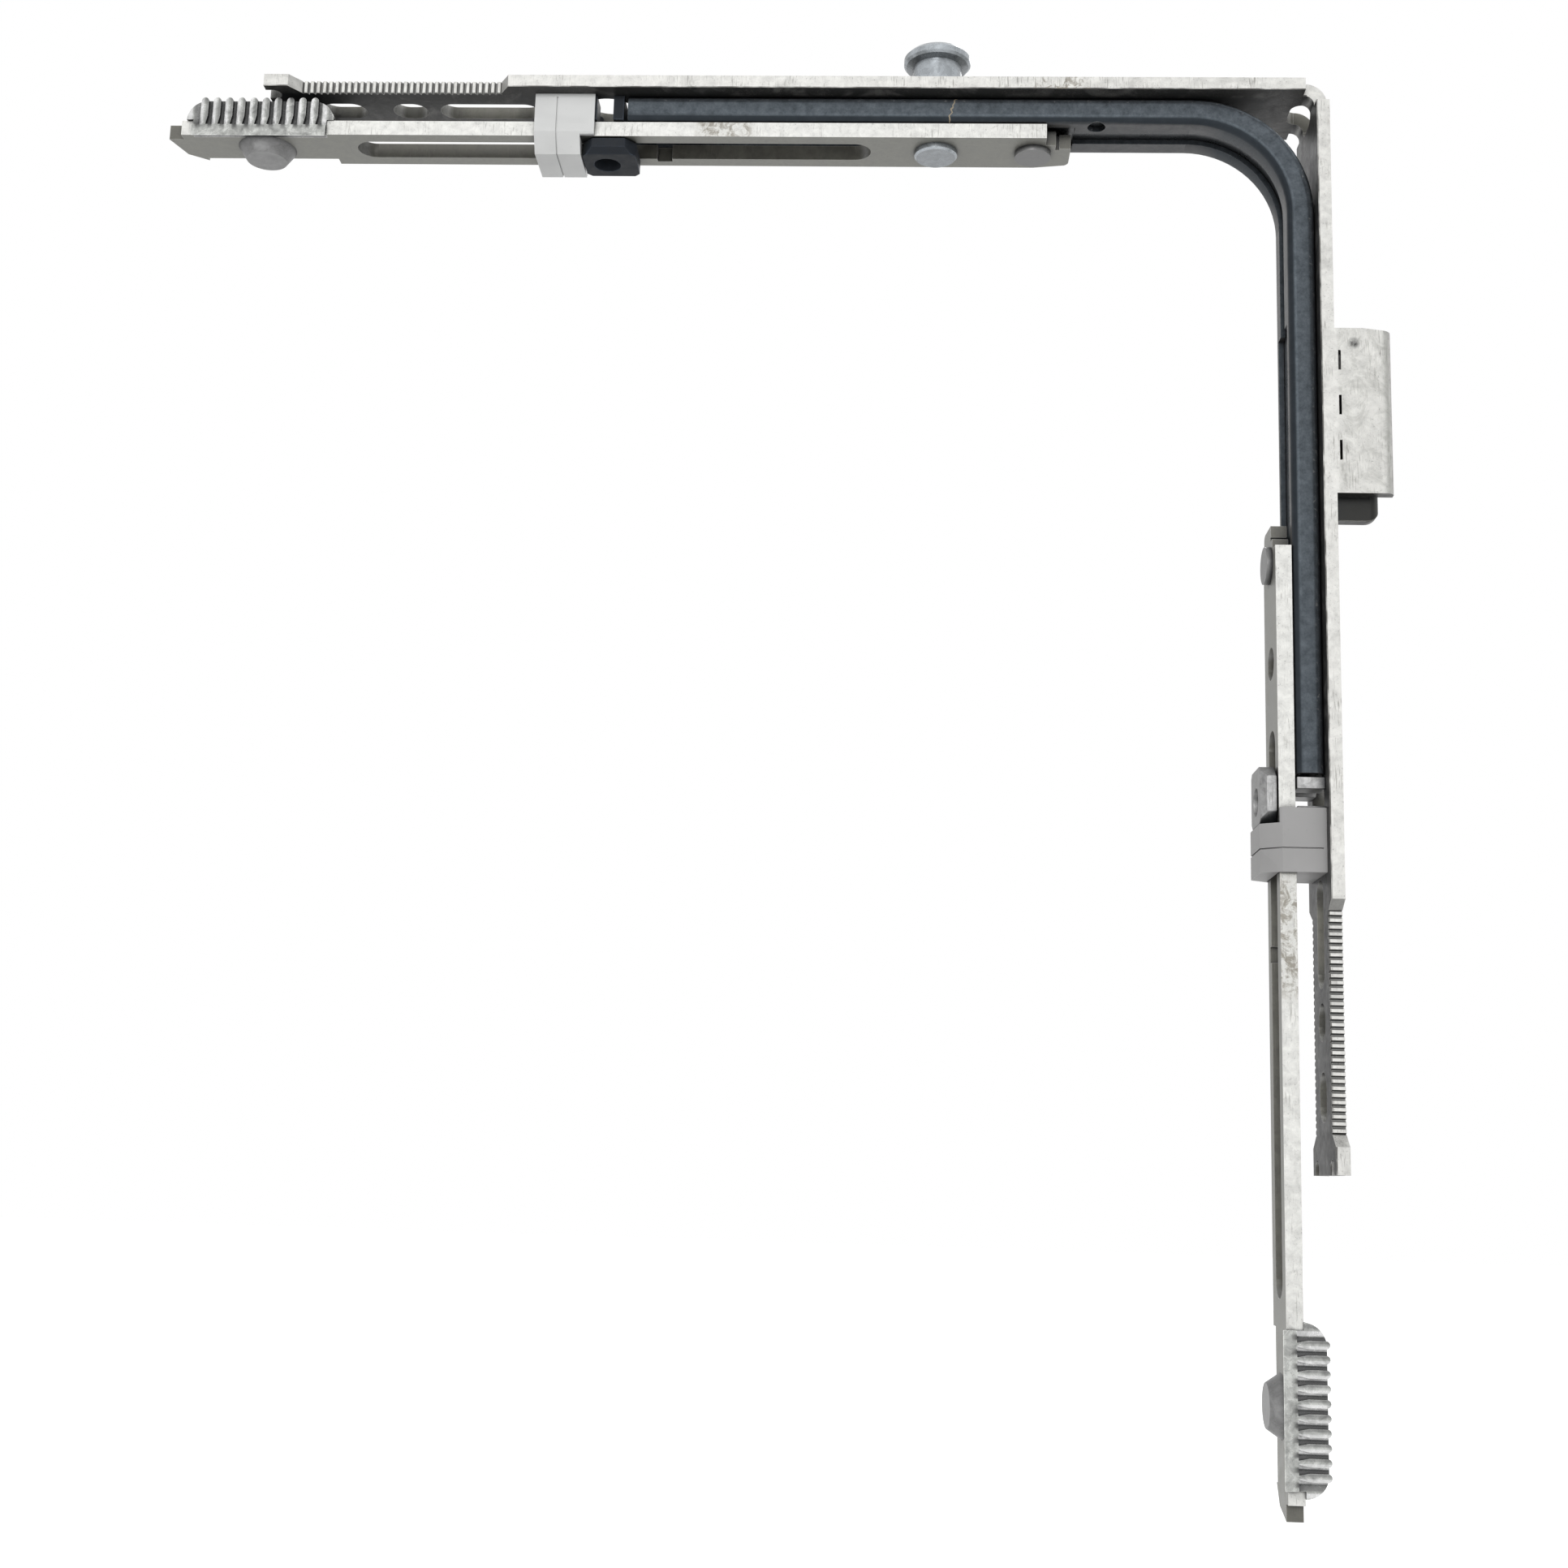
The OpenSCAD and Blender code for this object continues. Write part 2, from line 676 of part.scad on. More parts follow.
// Outline of a rod from its inner end to its outer tip, with the near side at -Y
function rod_outline() = let (
    h = rod_w / 2, notch = nose_step + 0.4, burr = 0.3, tip_setback = 1.85,
    tip_step = rod_len - 2.4, tip_full = rod_len - 4.4
) [
    [nose_len, -h],
    [nose_len, -h + nose_setback],
    [nose_len - 1.6, -h + nose_setback],
    [nose_len - 1.6, -h + nose_setback + notch],
    [nose_len - 2.2, -h + nose_setback + notch],
    [nose_len - 2.2, -h + nose_setback + nose_step],
    [0, -h + nose_setback + nose_step],
    [0, h - nose_drop],
    [nose_taper_len, h],
    [rod_len - tip_taper_len, h],
    [rod_len - tip_blunt_len, h - tip_blunt_drop],
    [rod_len, -h + tip_setback],
    [tip_step, -h + tip_setback],
    [tip_step, -h + burr],
    [tip_full, -h + burr],
    [tip_full, -h]
];

// What is cut away to round the far corner of the rod's inner end
module nose_corner_2d() {
    // The arc's top stands this far past the taper, so that the two cross
    lap = 0.05;
    nose_side = rod_w / 2 - nose_drop * (1 - nose_r / nose_taper_len) + lap;
    difference() {
        translate([-past, nose_side - nose_r]) square([nose_r + past, nose_r + past]);
        translate([nose_r, nose_side - nose_r]) circle(r = nose_r);
    }
}

module rod_body() {
    difference() {
        translate([0, 0, -rod_inner]) linear_extrude(rod_t) difference() {
            polygon(rod_outline());
            nose_corner_2d();
            slot_2d(slot_from, slot_to, slot_w);
            // Assembly notch in the far wall of the slot
            translate([rod_notch_at, slot_w / 2 - past]) square([rod_notch_len, past + rod_notch_deep]);
            // Waist gripped by the coupling block's rails
            translate([block_mid - rail_len / 2, -rod_w / 2 - past])
                square([rail_len, rod_waist + past]);
            translate([block_mid - rail_len / 2, rod_w / 2 - far_waist])
                square([rail_len, far_waist + past]);
            translate([block_mid, 0]) circle(d = block_shank_d);
            translate([strip_rivet_at, 0]) circle(d = strip_shank_d);
        }
        translate([cam_hole_at, 0, -rod_inner - past]) cylinder(d = cam_stub_d, h = rod_t + 2 * past);
    }
}

module top_drive_rod() {
    color("lightgray") on_top_leg() translate([top_rod_at, 0, 0]) rod_body();
}

module side_drive_rod() {
    color("lightgray") on_side_leg() translate([side_rod_at, 0, 0]) rod_body();
}

// A strip rivet: a head on the rod's inner face and a flat head behind the strips
module strip_rivet() {
    translate([strip_rivet_at, 0, -rod_inner - strip_head_h])
        cylinder(d = strip_head_d, h = strip_head_h);
    translate([strip_rivet_at, 0, -rod_inner - weld])
        cylinder(d = strip_shank_d, h = rod_inner - strip_foot_top + 2 * weld);
    translate([strip_rivet_at, 0, -strip_foot_top])
        cylinder(d = strip_foot_d, h = strip_foot_t);
}

module top_strip_rivet() {
    color("gray") on_top_leg() translate([top_rod_at, 0, 0]) strip_rivet();
}

module side_strip_rivet() {
    color("gray") on_side_leg() translate([side_rod_at, 0, 0]) strip_rivet();
}

// Section of the cam from its axis outward, turned round the axis
module mushroom_cam() {
    rim = 0.35;
    rivet_rim = 0.3;
    stub = cam_stub_d / 2;
    color("lightsteelblue") on_top_leg() translate([cam_at, 0, 0]) rotate_extrude() polygon([
        [0, -rod_inner - cam_rivet_h],
        [cam_rivet_d / 2 - rivet_rim, -rod_inner - cam_rivet_h],
        [cam_rivet_d / 2, -rod_inner - cam_rivet_h + rivet_rim],
        [cam_rivet_d / 2, -rod_inner],
        [stub, -rod_inner],
        [stub, -rod_outer],
        [cam_shank_d / 2, -rod_outer],
        [cam_shank_d / 2, cam_gap],
        [cam_neck_d / 2, cam_gap],
        [cam_neck_d / 2, cam_h - cam_head_t - rim],
        [cam_head_d / 2 - rim, cam_h - cam_head_t],
        [cam_head_d / 2, cam_h - cam_head_t + rim],
        [cam_head_d / 2, cam_h - 2 * rim],
        [cam_head_d / 2 - 2 * rim, cam_h],
        [0, cam_h]
    ]);
}

// How far the block's rounded ends lie below its crest at a place along it, from its middle
function end_fall(x) =
    let (out = max(0, abs(x) - block_len / 2 + block_end_r))
    block_end_r - sqrt(pow(block_end_r, 2) - pow(out, 2));

module coupling_block() {
    for (i = [0 : rib_count - 1]) {
        x = (i - (rib_count - 1) / 2) * rib_pitch;
        translate([block_mid + x, 0, 0]) rib(block_crest + end_fall(x));
    }
    block_core();
    translate([block_mid - rail_len / 2, 0, 0]) rotate([90, 0, 90])
        linear_extrude(rail_len) rail_section();
}

// Section of the two rails that grip the rod's waist: X across the block, Y outward
module rail_section() {
    core = core_w / 2;
    rod = rod_w / 2;
    polygon([
        [-core, -rod_outer + rail_lap], [-core, -rail_lip_top], [-block_w / 2, -rail_lip_top],
        [-block_w / 2, -rail_bottom], [-rod, -rod_inner], [-rod + rod_waist, -rod_inner],
        [-rod + rod_waist, -rod_outer + rail_lap]
    ]);
    polygon([
        [core, -rod_outer + rail_lap], [core, -far_rail_bottom],
        [rod - far_waist, -far_rail_bottom], [rod - far_waist, -rod_outer + rail_lap]
    ]);
}

// The core carries the ribs and rounds off the block's two ends
module block_core() {
    translate([block_from, core_w / 2, 0]) rotate([90, 0, 0]) linear_extrude(core_w) difference() {
        translate([0, -rod_outer]) square([block_len, rod_outer - core_crest]);
        core_corner_2d();
        translate([block_len, 0]) mirror([1, 0]) core_corner_2d();
    }
}

module core_corner_2d() {
    r = block_end_r;
    difference() {
        translate([-past, -core_crest - r]) square([r + past, r + past]);
        translate([r, -core_crest - r]) circle(r = r);
    }
}

module rib(crest) {
    foot_top = -rail_lip_top + rib_foot_h;
    block([-rib_t / 2, -block_w / 2, foot_top], [rib_t / 2, block_w / 2, -crest - rib_t / 2]);
    translate([0, -core_w / 2 + past, 0]) rotate([90, 0, 0])
        linear_extrude(rib_side_h + past) polygon([
            [-rib_t / 2, foot_top + weld], [rib_t / 2, foot_top + weld],
            [rib_foot_t / 2, -rail_lip_top - past], [-rib_foot_t / 2, -rail_lip_top - past]
        ]);
    translate([0, block_w / 2, -crest - rib_t / 2]) rotate([90, 0, 0])
        cylinder(d = rib_t, h = block_w, $fn = 32);
}

module top_coupling_block() {
    color("silver") on_top_leg() translate([top_rod_at, 0, 0]) difference() {
        coupling_block();
        block_rivet();
    }
}

module side_coupling_block() {
    color("silver") on_side_leg() translate([side_rod_at, 0, 0]) difference() {
        coupling_block();
        block_rivet();
    }
}

module block_rivet() {
    shank_to = block_crest + past;
    translate([block_mid, 0, -rod_inner - block_head_h])
        cylinder(d1 = block_crown_d, d2 = block_head_d, h = block_head_h);
    translate([block_mid, 0, -rod_inner - weld])
        cylinder(d = block_shank_d, h = rod_inner + weld - shank_to);
}

module top_block_rivet() {
    color("darkgray") on_top_leg() translate([top_rod_at, 0, 0]) block_rivet();
}

module side_block_rivet() {
    color("darkgray") on_side_leg() translate([side_rod_at, 0, 0]) block_rivet();
}

// Boss drawn round the screw's axis, with its head on the inner side of the rod
module screw_boss() {
    head_top = rod_inner + boss_gap;
    stem_w = slot_w - 2 * boss_gap;
    difference() {
        union() {
            translate([-boss_shift, 0, 0]) boss_head(head_top);
            block([-feet_len / 2, -stem_w / 2, -head_top - weld], [feet_len / 2, stem_w / 2, -plate_t]);
            block([-feet_len / 2, -feet_w / 2, -rod_outer + boss_gap],
                  [feet_len / 2, feet_w / 2, -plate_t]);
        }
        block([-feet_gap / 2, -feet_w, -head_top], [feet_gap / 2, feet_w, 0]);
        translate([0, 0, -head_top - boss_h - past]) cylinder(d = screw_d, h = head_top + boss_h);
    }
}

module boss_head(top) {
    l = boss_len / 2;
    w = boss_w / 2;
    c = boss_corner;
    intersection() {
        translate([0, 0, -top - boss_h]) linear_extrude(boss_h) polygon([
            [-l, -w + c], [-l + c, -w], [l - c, -w], [l, -w + c],
            [l, w - c], [l - c, w], [-l + c, w], [-l, w - c]
        ]);
        translate([-l, 0, -top]) rotate([90, 0, 90]) linear_extrude(boss_len) polygon([
            [-w, 0], [-w, -boss_h + boss_chamfer], [-w + boss_chamfer, -boss_h],
            [w - boss_chamfer, -boss_h], [w, -boss_h + boss_chamfer], [w, 0]
        ]);
    }
}

module top_screw_boss() {
    color("slategray") on_top_leg() translate([screw_at, 0, 0]) screw_boss();
}

module side_screw_boss() {
    color("darkgray") on_side_leg() translate([screw_at, 0, 0]) screw_boss();
}

// Section of the clip: X across the leg, Y outward
module clip_section() {
    w = clip_w / 2;
    slope_from = -rod_inner + clip_slope_rise;
    polygon([
        [-w, -plate_t], [-w, slope_from], [-w + clip_slope_w, -clip_bottom],
        [w - clip_slope_w, -clip_bottom], [w, slope_from], [w, -plate_t]
    ]);
}

module clip() {
    difference() {
        union() {
            translate([clip_from, 0, 0]) rotate([90, 0, 90])
                linear_extrude(clip_to - clip_from) clip_section();
            translate([clip_peg_at, 0, -plate_t - weld]) cylinder(d = clip_peg_d, h = plate_t + weld);
        }
        // Passage of the rod
        block([clip_from - past, -rod_w / 2 - clip_gap, -rod_inner - clip_gap],
              [clip_to + past, rod_w / 2 + clip_gap, -rod_outer + clip_gap]);
        // Room for the boss head on the inner side, and for its feet under the faceplate
        block([clip_from - past, -clip_w, -clip_bottom - past],
              [clip_inner_from, clip_w, -rod_inner]);
        block([clip_from - past, -feet_w / 2 - clip_feet_gap, -rod_outer],
              [screw_at + feet_len / 2 + clip_boss_gap, feet_w / 2 + clip_feet_gap,
               -plate_t + past]);
        // Parting groove round the outside
        difference() {
            block([clip_peg_at, -clip_w, -clip_bottom - past],
                  [clip_peg_at + parting_w, clip_w, -plate_t - past]);
            translate([clip_from, 0, 0]) rotate([90, 0, 90]) linear_extrude(clip_to - clip_from)
                clip_groove_core();
        }
    }
}

module clip_groove_core() {
    w = clip_w / 2 - parting_w;
    slope_from = -rod_inner + clip_slope_rise;
    slope_to = -clip_bottom + parting_w;
    polygon([
        [-w, 0], [-w, slope_from], [-w + clip_slope_w, slope_to],
        [w - clip_slope_w, slope_to], [w, slope_from], [w, 0]
    ]);
}

module top_clip() {
    color("lightgray") on_top_leg() clip();
}

module side_clip() {
    color("dimgray") on_side_leg() clip();
}

// Near side of the catch, and the middle of the foot beside it
function catch_side() = -plate_w / 2 + plate_t + catch_gap;
function catch_foot_mid() = catch_side() + (catch_t + catch_foot_reach) / 2;

// Rivet that holds the catch, countersunk in the faceplate's inner face
module catch_rivet_solid() {
    translate([catch_from + catch_foot_len / 2, catch_foot_mid(), 0]) {
        translate([0, 0, -plate_t])
            cylinder(d1 = catch_rivet_head_d, d2 = catch_rivet_d, h = plate_t / 2);
        translate([0, 0, -plate_t / 2 - weld])
            cylinder(d = catch_rivet_d, h = plate_t / 2 + catch_t + 2 * weld);
        translate([0, 0, catch_t]) cylinder(d = catch_rivet_head_d, h = catch_rivet_head_h);
    }
}

module catch_rivet() {
    color("silver") on_side_leg() catch_rivet_solid();
}

// An upright plate behind the flange, with a foot riveted to the faceplate
module flange_catch() {
    color("dimgray") on_side_leg() difference() {
        union() {
            catch_plate();
            block([catch_from, catch_side(), 0],
                  [catch_from + catch_foot_len, catch_side() + catch_foot_reach, catch_t]);
        }
        catch_rivet_solid();
    }
}

module catch_plate() {
    intersection() {
        translate([catch_from, catch_side() + catch_t, 0]) rotate([90, 0, 0])
            linear_extrude(catch_t) {
                square([catch_len - catch_corner_r, catch_h]);
                square([catch_len, catch_h - catch_corner_r]);
                translate([catch_len - catch_corner_r, catch_h - catch_corner_r])
                    circle(r = catch_corner_r);
            }
        translate([catch_from, catch_side(), 0]) rotate([90, 0, 90])
            linear_extrude(catch_len) difference() {
                square([catch_t, catch_h]);
                edge_cut_2d(catch_h, catch_edge_r);
            }
    }
}

faceplate();
corner_guide();
guide_rivets();
outer_spring_strip();
middle_spring_strip();
inner_spring_strip();
top_drive_rod();
side_drive_rod();
top_strip_rivet();
side_strip_rivet();
mushroom_cam();
top_coupling_block();
side_coupling_block();
top_block_rivet();
side_block_rivet();
top_screw_boss();
side_screw_boss();
top_clip();
side_clip();
flange_catch();
catch_rivet();
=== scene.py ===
"""Looks of the espagnolette corner drive, in metres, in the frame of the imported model."""
import math

import bpy
from mathutils import Matrix, Vector

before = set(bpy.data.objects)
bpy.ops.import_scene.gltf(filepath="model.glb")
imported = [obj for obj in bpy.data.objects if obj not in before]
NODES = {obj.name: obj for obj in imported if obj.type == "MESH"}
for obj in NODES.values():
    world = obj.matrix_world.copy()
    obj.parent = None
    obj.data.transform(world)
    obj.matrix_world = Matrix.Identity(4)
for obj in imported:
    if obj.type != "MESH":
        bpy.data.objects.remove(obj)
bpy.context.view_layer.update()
MM = 0.001

# Camera: the photograph's viewing point and angles, in millimetres and radians
IMAGE_WIDTH = 1932
FOCAL_PX = 2600.0
SENSOR_MM = 36.0
CAMERA_AT = (47.315, -311.258, -170.12)
YAW, PITCH, ROLL = 0.0517, -0.1867, 0.0302

# Dark smudge near the flange's upper end
SMUDGE_AT = (0.1155, -0.008, -0.0434)

# Tan fibre on the guide: where it would reach Z = 0, and its lean
FIBRE_X = -0.0557
FIBRE_SLOPE = 0.25

# Distance from one rib of the coupling blocks to the next
RIB_PITCH_MM = 1.97

# Stage
FLOOR_Z = -0.26
FLOOR_SIZE = 6.0


def camera_rotation():
    """Columns are the camera's right, up and backward directions in the row frame."""
    cy, sy = math.cos(YAW), math.sin(YAW)
    cp, sp = math.cos(PITCH), math.sin(PITCH)
    cr, sr = math.cos(ROLL), math.sin(ROLL)
    turn_y = Matrix(((cy, 0, sy), (0, 1, 0), (-sy, 0, cy)))
    turn_x = Matrix(((1, 0, 0), (0, cp, -sp), (0, sp, cp)))
    turn_z = Matrix(((cr, -sr, 0), (sr, cr, 0), (0, 0, 1)))
    view = turn_z @ turn_x @ turn_y
    right, down, forward = (Vector((r[0], r[2], -r[1])) for r in view)
    return Matrix((right, -down, -forward)).transposed()


def add_camera():
    data = bpy.data.cameras.new("camera")
    data.sensor_width = SENSOR_MM
    data.lens = FOCAL_PX / IMAGE_WIDTH * SENSOR_MM
    data.clip_start = 0.01
    camera = bpy.data.objects.new("camera", data)
    bpy.context.scene.collection.objects.link(camera)
    place = camera_rotation().to_4x4()
    place.translation = Vector(CAMERA_AT) * MM
    camera.matrix_world = place
    bpy.context.scene.camera = camera


def add_area(name, at, aim, size, power, colour=(1, 1, 1)):
    data = bpy.data.lights.new(name, "AREA")
    data.shape = "DISK"
    data.size = size
    data.energy = power
    data.color = colour
    lamp = bpy.data.objects.new(name, data)
    bpy.context.scene.collection.objects.link(lamp)
    lamp.location = at
    lamp.rotation_euler = (Vector(aim) - Vector(at)).to_track_quat("-Z", "Y").to_euler()
    return lamp


class Nodes:
    """Short calls for building a node tree."""

    def __init__(self, tree):
        self.tree = tree
        tree.nodes.clear()

    def add(self, kind, inputs=None, **settings):
        node = self.tree.nodes.new(kind)
        for key, value in settings.items():
            setattr(node, key, value)
        for key, value in (inputs or {}).items():
            self.put(node.inputs[key], value)
        return node

    def put(self, socket, value):
        if isinstance(value, bpy.types.NodeSocket):
            self.tree.links.new(value, socket)
        else:
            socket.default_value = value

    def math(self, operation, a, b=0.0, c=0.0):
        node = self.add("ShaderNodeMath", {0: a, 1: b, 2: c}, operation=operation)
        return node.outputs[0]

    def remap(self, value, low, high, to_low=0.0, to_high=1.0):
        node = self.add("ShaderNodeMapRange", {0: value, 1: low, 2: high, 3: to_low, 4: to_high})
        return node.outputs[0]

    def noise(self, coords, scale, detail=3.0, roughness=0.55, distortion=0.0):
        node = self.add("ShaderNodeTexNoise", {
            "Vector": coords, "Scale": scale, "Detail": detail,
            "Roughness": roughness, "Distortion": distortion})
        return node.outputs["Fac"]

    def stretched(self, coords, turn, scale):
        node = self.add("ShaderNodeMapping", {"Vector": coords, "Rotation": turn, "Scale": scale})
        return node.outputs[0]

    def mix(self, factor, a, b, blend="MIX"):
        node = self.add("ShaderNodeMix", data_type="RGBA", blend_type=blend)
        self.put(node.inputs[0], factor)
        self.put(node.inputs[6], a)
        self.put(node.inputs[7], b)
        return node.outputs[2]

    def split(self, vector):
        return self.add("ShaderNodeSeparateXYZ", {0: vector}).outputs

    def grey(self, value):
        return self.add("ShaderNodeCombineColor", {0: value, 1: value, 2: value}).outputs[0]


def rgb(value, tint=(1, 1, 1)):
    return tuple(value * t for t in tint) + (1.0,)


def material(name):
    made = bpy.data.materials.new(name)
    made.use_nodes = True
    nodes = Nodes(made.node_tree)
    coords = nodes.add("ShaderNodeTexCoord")
    return made, nodes, coords


def finish_material(nodes, colour, roughness, metallic, height=None, bump_mm=0.02, **sockets):
    inputs = {"Base Color": colour, "Roughness": roughness, "Metallic": metallic}
    for key, value in sockets.items():
        inputs[key.replace("_", " ")] = value
    if height is not None:
        bump = nodes.add("ShaderNodeBump", {"Height": height, "Strength": 1.0,
                                            "Distance": bump_mm * MM})
        inputs["Normal"] = bump.outputs[0]
    shader = nodes.add("ShaderNodeBsdfPrincipled", inputs)
    out = nodes.add("ShaderNodeOutputMaterial")
    nodes.tree.links.new(shader.outputs[0], out.inputs[0])


def edge_mask(nodes, radius_mm):
    """1 on sharp edges, 0 on flat faces."""
    bevel = nodes.add("ShaderNodeBevel", {"Radius": radius_mm * MM}, samples=6)
    true_normal = nodes.add("ShaderNodeNewGeometry").outputs["Normal"]
    dot = nodes.add("ShaderNodeVectorMath", {0: bevel.outputs[0], 1: true_normal},
                    operation="DOT_PRODUCT").outputs["Value"]
    return nodes.remap(dot, 0.995, 0.82)


def facing(nodes, coords, near_from=None, low=0.75, high=0.95):
    """Masks of the near faces, of those that look to the inside of the L, and of slot walls, for
    painted lit and shaded tones.

    Near faces further back than near_from, in mm, are walls of slots and holes.
    """
    x, y, z = nodes.split(coords.outputs["Normal"])[:3]
    near = nodes.remap(nodes.math("MULTIPLY", y, -1.0), low, high)
    wall = None
    if near_from is not None:
        depth = nodes.split(coords.outputs["Object"])[1]
        outside = nodes.math("LESS_THAN", depth, near_from * MM)
        wall = nodes.math("MULTIPLY", near, nodes.math("SUBTRACT", 1.0, outside))
        near = nodes.math("MULTIPLY", near, outside)
    inner = nodes.math("MAXIMUM", nodes.math("MULTIPLY", x, -1.0), nodes.math("MULTIPLY", z, -1.0))
    return near, nodes.remap(inner, low, high), wall


def gap_shade_mask(nodes, reach_mm, low=0.85, high=0.35):
    """Mask for painted shade: 1 deep in gaps and corners, 0 in the open."""
    ao = nodes.add("ShaderNodeAmbientOcclusion", {"Distance": reach_mm * MM}, samples=6)
    return nodes.remap(ao.outputs["AO"], low, high)


def scratches(nodes, coords, turn, fine, long, low, high):
    """Thin lines along one direction, broken up into patches."""
    where = coords.outputs["Object"]
    line = nodes.noise(nodes.stretched(where, turn, (fine, fine, long)), 1.0, 2.0, 0.55)
    patch = nodes.remap(nodes.noise(where, 190.0, 2.0), 0.44, 0.60)
    return nodes.math("MULTIPLY", nodes.remap(line, low, high), patch)


def zinc(name, near, inner, other=None, tint=(1, 1, 1), inner_tint=(1, 1, 1), rough=0.42,
         metallic=0.14, mottle=0.16, speck=0.5, lines=0.5, edge=0.3, gap=0.9, reach=5.0,
         stain=0.0, bump=0.014, near_from=None, wall=0.2, gloss=0.5, dip=(0.85, 0.35),
         edge_tone=None, marks=None):
    """Zinc plating with painted light and shade: a lighter tone on near faces, darker tones on inner
    faces and slot walls, painted shade in gaps; mottled, specked, scratched, lighter on worn edges.
    """
    made, nodes, coords = material(name)
    where = coords.outputs["Object"]
    near_face, inner_face, wall_face = facing(nodes, coords, near_from)
    cloud = nodes.noise(where, 620.0, 5.0, 0.66, 0.5)
    grain = nodes.noise(where, 3600.0, 3.0, 0.7)
    # Painted light and shade: near faces take the lit tone, inner faces the shaded tone, slot walls a
    # dark wall tone.
    tone = nodes.mix(near_face, rgb(other if other is not None else 0.5 * (near + inner), tint),
                     rgb(near, tint))
    tone = nodes.mix(inner_face, tone, rgb(inner, inner_tint))
    if wall_face:
        tone = nodes.mix(wall_face, tone, rgb(wall, (1, 0.98, 0.84)))
    spread = nodes.remap(cloud, 0.3, 0.7, 1.0 - mottle, 1.0 + 0.5 * mottle)
    colour = nodes.mix(1.0, tone, nodes.grey(spread), "MULTIPLY")
    specks = nodes.math("MULTIPLY", nodes.remap(grain, 0.60, 0.72),
                        nodes.remap(cloud, 0.6, 0.42, 0.25, 1.0))
    colour = nodes.mix(nodes.math("MULTIPLY", specks, speck), colour,
                       rgb(0.3 * (near + inner) * 0.5, (1.0, 0.95, 0.86)))
    across = scratches(nodes, coords, (0.15, 0.8, 0.1), 4600.0, 300.0, 0.60, 0.68)
    along = scratches(nodes, coords, (0.0, -0.5, 0.3), 5400.0, 420.0, 0.61, 0.69)
    mark = nodes.math("MULTIPLY", nodes.math("MAXIMUM", across, along), lines)
    colour = nodes.mix(mark, colour, rgb(0.22 * near, (1.0, 0.93, 0.84)))
    if stain:
        blot = nodes.noise(where, 150.0, 4.0, 0.6, 1.2)
        colour = nodes.mix(nodes.remap(blot, 0.52, 0.68, 0.0, stain), colour,
                           rgb(0.35 * near, (1.0, 0.98, 0.93)))
    if edge:
        worn = nodes.math("MULTIPLY", edge_mask(nodes, 0.2), nodes.remap(cloud, 0.35, 0.6, 0.3, edge))
        colour = nodes.mix(worn, colour, rgb(edge_tone or min(near * 1.1, 0.9), tint))
    # Painted shade: colour darkened towards near black deep in gaps and corners.
    if gap:
        gap_shade = nodes.math("MULTIPLY", gap_shade_mask(nodes, reach, *dip), gap)
        if near_from is not None:
            depth = nodes.split(where)[1]
            gap_shade = nodes.math("MULTIPLY", gap_shade, nodes.remap(depth, (near_from - 2.4) * MM,
                                                            (near_from - 1.6) * MM, 0.1, 1.0))
        colour = nodes.mix(gap_shade, colour, rgb(0.012, (0.9, 1.0, 1.1)))
    if marks:
        colour = marks(nodes, where, colour, near_face, cloud)
    height = nodes.math("ADD", nodes.math("MULTIPLY", cloud, 0.8),
                        nodes.math("SUBTRACT", nodes.math("MULTIPLY", grain, 0.5),
                                   nodes.math("MULTIPLY", mark, 0.7)))
    roughness = nodes.remap(cloud, 0.3, 0.7, rough - 0.07, rough + 0.09)
    finish_material(nodes, colour, roughness, metallic, height, bump, Specular_IOR_Level=gloss)
    return made


def band(nodes, value, low_mm, high_mm, soft_mm=0.05):
    """1 between two planes, fading over soft_mm on both sides."""
    rise = nodes.remap(value, (low_mm - soft_mm) * MM, low_mm * MM)
    fall = nodes.remap(value, high_mm * MM, (high_mm + soft_mm) * MM, 1.0, 0.0)
    return nodes.math("MULTIPLY", rise, fall)


